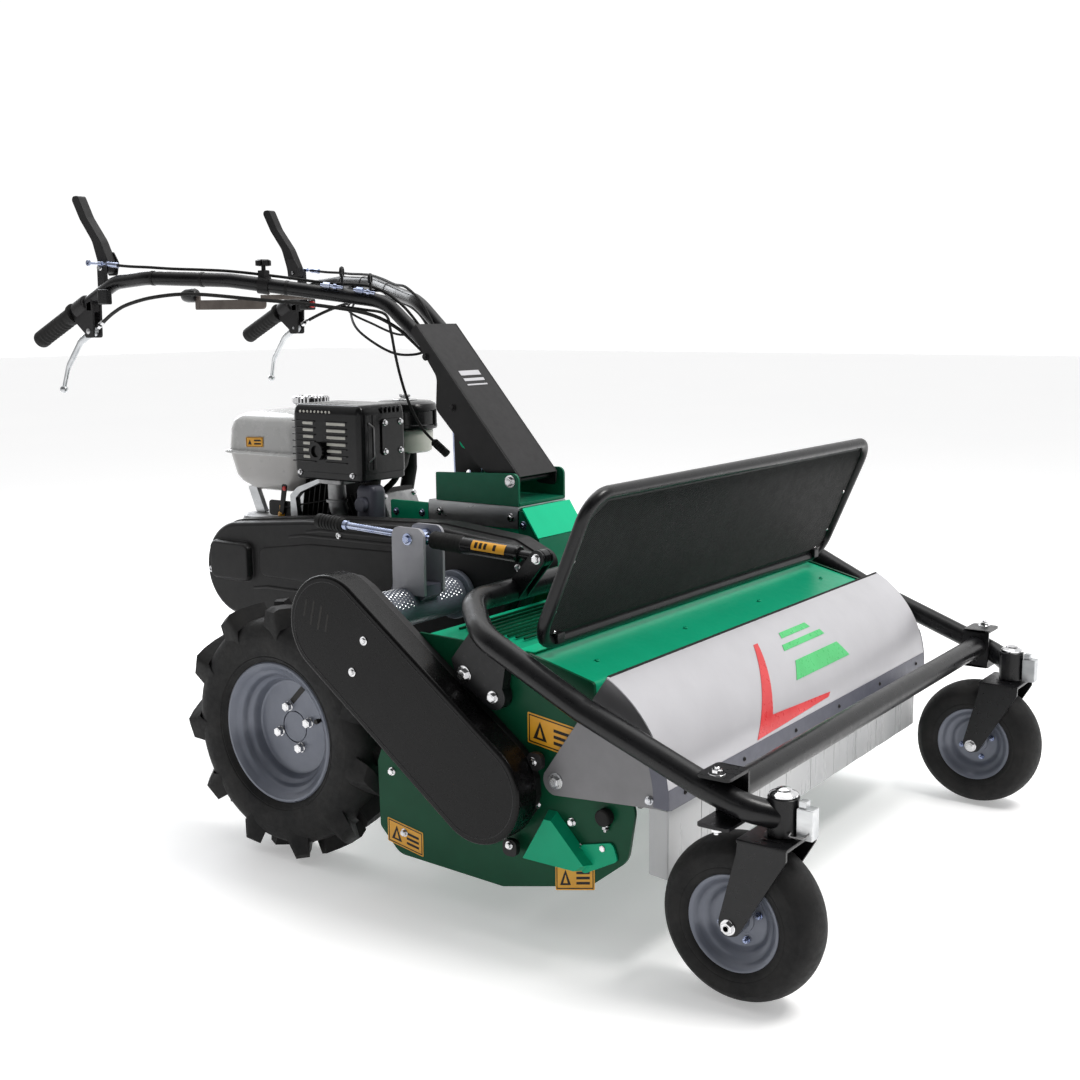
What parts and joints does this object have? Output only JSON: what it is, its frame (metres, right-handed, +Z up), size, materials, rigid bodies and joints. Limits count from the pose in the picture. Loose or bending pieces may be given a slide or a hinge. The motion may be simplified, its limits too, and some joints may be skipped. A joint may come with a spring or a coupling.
{
  "type": "walk-behind flail mower",
  "caption": "Walk-behind brush mower: engine over drive wheels, belt-driven flail head under a tilting hood, caster lift frame and handlebar with levers.",
  "frame": {"origin": "middle of the footprint's bounding box, on the ground plane under the tyres", "axes": "+X forwards towards the mowing head and casters, +Y to the operator's left, +Z up"},
  "size_m": [2.0164, 1.162, 1.2477],
  "materials": {
    "dark_green": "satin enamel",
    "bright_green": "satin enamel",
    "black_paint": "satin powder coat",
    "black_plastic": "fine-grained moulding",
    "rubber": "matt",
    "tyre": "matt",
    "grey_rim": "metallic grey enamel",
    "silver": "light metallic enamel",
    "zinc": "bright zinc plate",
    "aluminium": "as cast",
    "steel": "machined",
    "tank_grey": "smooth",
    "clear_strip": "translucent strip"
  },
  "bodies": {
    "machine": {"transaxle_housing": "black_paint", "chassis_plate": "black_paint", "engine_crankcase": "aluminium", "engine_cylinder": "aluminium", "muffler": "black_paint", "fuel_tank": "tank_grey", "air_cleaner": "black_plastic", "recoil_housing": "black_plastic", "main_belt_cover": "black_plastic", "main_belt": "rubber", "cross_tube": "grey_rim", "deck_belt": "rubber", "side_case": "black_paint", "side_case_back": "black_paint", "side_plate_left": "dark_green", "side_plate_right": "dark_green", "deck_shell": "bright_green", "rotor_bearing": "steel", "adjuster_tower": "silver", "console": "bright_green", "steering_rail": "zinc"},
    "wheel_left": {"tyre_left": "tyre", "rim_left": "grey_rim"},
    "wheel_right": {"tyre_right": "tyre", "rim_right": "grey_rim"},
    "engine_shaft": {"engine_pulley": "steel"},
    "cross_shaft": {"jackshaft": "steel"},
    "rotor_shaft": {"rotor": "black_paint"},
    "flails_1": {"flail_row_1": "steel"},
    "flails_2": {"flail_row_2": "steel"},
    "flails_3": {"flail_row_3": "steel"},
    "lift": {"lift_frame": "black_paint", "front_crossbar": "black_paint"},
    "height_sleeve": {"adjuster_tube": "black_paint"},
    "height_screw": {"adjuster_screw": "zinc"},
    "caster_left": {"caster_fork_left": "black_paint"},
    "caster_right": {"caster_fork_right": "black_paint"},
    "caster_wheel_left": {"caster_tyre_left": "tyre", "caster_rim_left": "grey_rim"},
    "caster_wheel_right": {"caster_tyre_right": "tyre", "caster_rim_right": "grey_rim"},
    "swivel_block_left": {"swivel_lock_left": "zinc"},
    "swivel_block_right": {"swivel_lock_right": "zinc"},
    "hood": {"bonnet": "silver"},
    "strips": {"curtain": "clear_strip"},
    "front_flap": {"flap": "black_paint"},
    "turret": {"handle_turret": "dark_green"},
    "handle": {"handle_column": "black_paint", "handlebar_left": "black_paint", "handlebar_right": "black_paint", "grip_left": "rubber", "grip_right": "rubber", "cable_left": "black_plastic", "cable_right": "black_plastic"},
    "paddle_left": {"paddle_lever_left": "black_plastic"},
    "paddle_right": {"paddle_lever_right": "black_plastic"},
    "clutch_left": {"clutch_lever_left": "zinc"},
    "clutch_right": {"clutch_lever_right": "zinc"},
    "gear_lever": {"shift_lever": "zinc"},
    "filler_cap": {"fuel_cap": "zinc"}
  },
  "joints": [
    {"name": "wheel_right_roll", "type": "hinge", "parent": "machine", "child": "wheel_right", "pos_m": [-0.074, -0.472, 0.238], "axis": [0, 1, 0], "continuous": true},
    {"name": "wheel_left_roll", "type": "hinge", "parent": "machine", "child": "wheel_left", "pos_m": [-0.074, 0.472, 0.238], "axis": [0, 1, 0], "continuous": true},
    {"name": "engine_crank", "type": "hinge", "parent": "machine", "child": "engine_shaft", "pos_m": [-0.469, -0.213, 0.46], "axis": [0, 1, 0], "continuous": true},
    {"name": "cross_shaft_spin", "type": "hinge", "parent": "machine", "child": "cross_shaft", "pos_m": [0.126, -0.4, 0.472], "axis": [0, 1, 0], "continuous": true},
    {"name": "rotor_spin", "type": "hinge", "parent": "machine", "child": "rotor_shaft", "pos_m": [0.436, 0, 0.245], "axis": [0, 1, 0], "continuous": true},
    {"name": "flails_1_swing", "type": "hinge", "parent": "rotor_shaft", "child": "flails_1", "pos_m": [0.50182, 0, 0.283], "axis": [0, 1, 0], "range_deg": [-150, 7]},
    {"name": "flails_2_swing", "type": "hinge", "parent": "rotor_shaft", "child": "flails_2", "pos_m": [0.436, 0, 0.169], "axis": [0, 1, 0], "range_deg": [-75, 75]},
    {"name": "flails_3_swing", "type": "hinge", "parent": "rotor_shaft", "child": "flails_3", "pos_m": [0.37018, 0, 0.283], "axis": [0, 1, 0], "range_deg": [-7, 150]},
    {"name": "lift_frame_tilt", "type": "hinge", "parent": "machine", "child": "lift", "pos_m": [0.384, 0, 0.418], "axis": [0, 1, 0], "range_deg": [-4, 3]},
    {"name": "height_sleeve_pivot", "type": "hinge", "parent": "lift", "child": "height_sleeve", "pos_m": [0.411, -0.355, 0.584], "axis": [0, 1, 0], "range_deg": [-6, 4.5]},
    {"name": "height_screw_turn", "type": "hinge", "parent": "machine", "child": "height_screw", "pos_m": [0.139, -0.355, 0.596], "axis": [0.999, 0, -0.0441], "range_deg": [-1044, 783]},
    {"name": "caster_right_yaw", "type": "hinge", "parent": "lift", "child": "caster_right", "pos_m": [0.94, -0.51, 0.28], "axis": [0, 0, 1], "continuous": true},
    {"name": "caster_wheel_right_roll", "type": "hinge", "parent": "caster_right", "child": "caster_wheel_right", "pos_m": [0.881, -0.51, 0.1254], "axis": [0, 1, 0], "continuous": true},
    {"name": "swivel_block_right_lift", "type": "slide", "parent": "lift", "child": "swivel_block_right", "axis": [0, 0, 1], "range_m": [0, 0.01]},
    {"name": "caster_left_yaw", "type": "hinge", "parent": "lift", "child": "caster_left", "pos_m": [0.94, 0.51, 0.28], "axis": [0, 0, 1], "continuous": true},
    {"name": "caster_wheel_left_roll", "type": "hinge", "parent": "caster_left", "child": "caster_wheel_left", "pos_m": [0.881, 0.51, 0.1254], "axis": [0, 1, 0], "continuous": true},
    {"name": "swivel_block_left_lift", "type": "slide", "parent": "lift", "child": "swivel_block_left", "axis": [0, 0, 1], "range_m": [0, 0.01]},
    {"name": "hood_lift", "type": "hinge", "parent": "machine", "child": "hood", "pos_m": [0.552, 0, 0.267], "axis": [0, -1, 0], "range_deg": [0, 30]},
    {"name": "strips_swing", "type": "hinge", "parent": "hood", "child": "strips", "pos_m": [0.74488, 0, 0.25426], "axis": [0, 1, 0], "range_deg": [0, 35]},
    {"name": "front_flap_fold", "type": "hinge", "parent": "machine", "child": "front_flap", "pos_m": [0.516, 0, 0.478], "axis": [0, 1, 0], "range_deg": [-15, 40]},
    {"name": "handle_swing", "type": "hinge", "parent": "machine", "child": "turret", "pos_m": [0.046, 0, 0.62], "axis": [0, 0, 1], "range_deg": [-20, 20]},
    {"name": "handle_height", "type": "hinge", "parent": "turret", "child": "handle", "pos_m": [0.131, 0, 0.668], "axis": [0, 1, 0], "range_deg": [-10, 15]},
    {"name": "paddle_right_press", "type": "hinge", "parent": "handle", "child": "paddle_right", "pos_m": [-0.787, -0.285, 1.092], "axis": [0, 1, 0], "range_deg": [-22, 0], "stiffness_Nm_per_rad": 1.5, "springref_deg": 14.32},
    {"name": "clutch_right_squeeze", "type": "hinge", "parent": "handle", "child": "clutch_right", "pos_m": [-0.819, -0.302, 0.958], "axis": [0, 1, 0], "range_deg": [0, 14], "stiffness_Nm_per_rad": 3, "springref_deg": -11.46},
    {"name": "paddle_left_press", "type": "hinge", "parent": "handle", "child": "paddle_left", "pos_m": [-0.787, 0.285, 1.092], "axis": [0, 1, 0], "range_deg": [-22, 0], "stiffness_Nm_per_rad": 1.5, "springref_deg": 14.32},
    {"name": "clutch_left_squeeze", "type": "hinge", "parent": "handle", "child": "clutch_left", "pos_m": [-0.819, 0.302, 0.958], "axis": [0, 1, 0], "range_deg": [0, 14], "stiffness_Nm_per_rad": 3, "springref_deg": -11.46},
    {"name": "gear_lever_shift", "type": "hinge", "parent": "handle", "child": "gear_lever", "pos_m": [-0.419, -0.05, 1.03], "axis": [0, 0, 1], "range_deg": [-12, 12]},
    {"name": "filler_cap_turn", "type": "hinge", "parent": "machine", "child": "filler_cap", "pos_m": [-0.504, 0.03, 0.7935], "axis": [0, 0, 1], "range_deg": [0, 90]}
  ],
  "couplings": [
    {"joint": "engine_crank", "follows": "rotor_spin", "ratio": 1.463},
    {"joint": "cross_shaft_spin", "follows": "rotor_spin", "ratio": 1},
    {"joint": "height_sleeve_pivot", "follows": "lift_frame_tilt", "ratio": -0.93}
  ]
}
